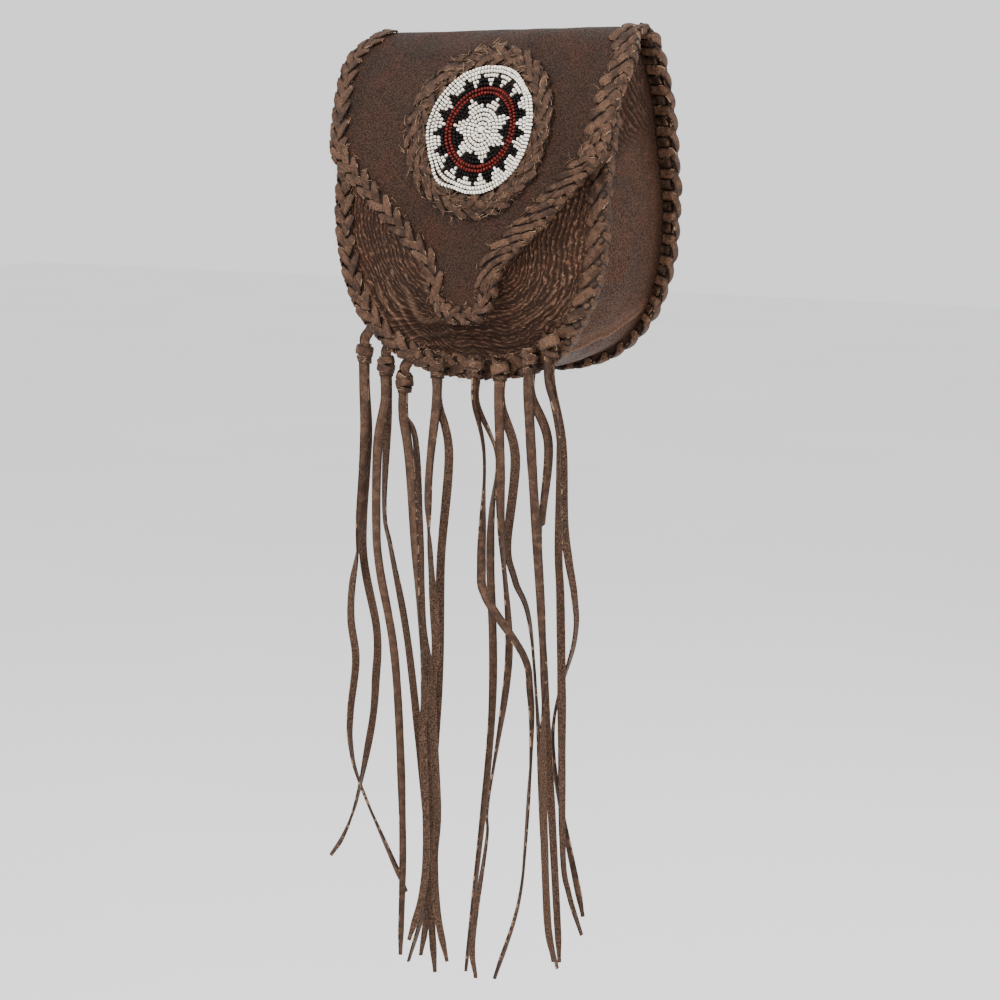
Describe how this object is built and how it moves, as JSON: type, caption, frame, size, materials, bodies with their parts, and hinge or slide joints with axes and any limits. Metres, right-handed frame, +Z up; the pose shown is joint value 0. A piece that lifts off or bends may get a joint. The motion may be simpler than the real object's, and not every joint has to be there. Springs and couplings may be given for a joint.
{
  "type": "belt bag",
  "caption": "Leather belt bag with laced edges, a hinged pointed flap with a beaded rosette, belt loops and a long knotted thong fringe.",
  "frame": {"origin": "middle of the belt tunnel, between the belt loops and the back panel, halfway up a 50 mm belt", "axes": "+Z up, the front with its flap faces -Y, the back and the belt are at +Y, +X is to the right of someone facing the front"},
  "size_m": [0.1958, 0.0912, 0.5117],
  "materials": {
    "leather": "soft pebbled dark brown leather with reddish cloudy patches",
    "front_leather": "wrinkled, deeply pebbled dark brown leather",
    "lacing": "flat plaited lace with a smooth tan-brown face and pale fuzzy edges",
    "thong": "cut leather strip, smooth on one side and dark suede on the other",
    "bead_white": "opaque off-white glass seed beads",
    "bead_black": "opaque black glass seed beads",
    "bead_red": "opaque dark red glass seed beads"
  },
  "bodies": {
    "bag": {"back_panel": "leather", "gusset": "leather", "front_panel": "front_leather", "belt_loop_left": "leather", "belt_loop_right": "leather", "front_seam_lacing": "lacing", "back_seam_lacing": "lacing", "knot_1": "lacing", "knot_2": "lacing", "knot_3": "lacing", "knot_4": "lacing", "knot_5": "lacing", "knot_6": "lacing", "knot_7": "lacing", "knot_8": "lacing", "thong_1a": "thong", "thong_1b": "thong", "thong_2a": "thong", "thong_2b": "thong", "thong_3a": "thong", "thong_3b": "thong", "thong_4a": "thong", "thong_4b": "thong", "thong_5a": "thong", "thong_5b": "thong", "thong_6a": "thong", "thong_6b": "thong", "thong_7a": "thong", "thong_7b": "thong", "thong_8a": "thong", "thong_8b": "thong"},
    "flap": {"flap": "leather", "flap_edge_lacing": "lacing", "rosette_backing": "leather", "rosette_braid": "lacing", "beads_black_field": "bead_black", "beads_black_teeth": "bead_black", "beads_red_ring": "bead_red", "beads_white_rim": "bead_white", "beads_white_star": "bead_white"}
  },
  "joints": [
    {"name": "flap_hinge", "type": "hinge", "parent": "bag", "child": "flap", "pos_m": [0, -0.0335, 0.0807], "axis": [-1, 0, 0], "range_deg": [0, 170]}
  ]
}
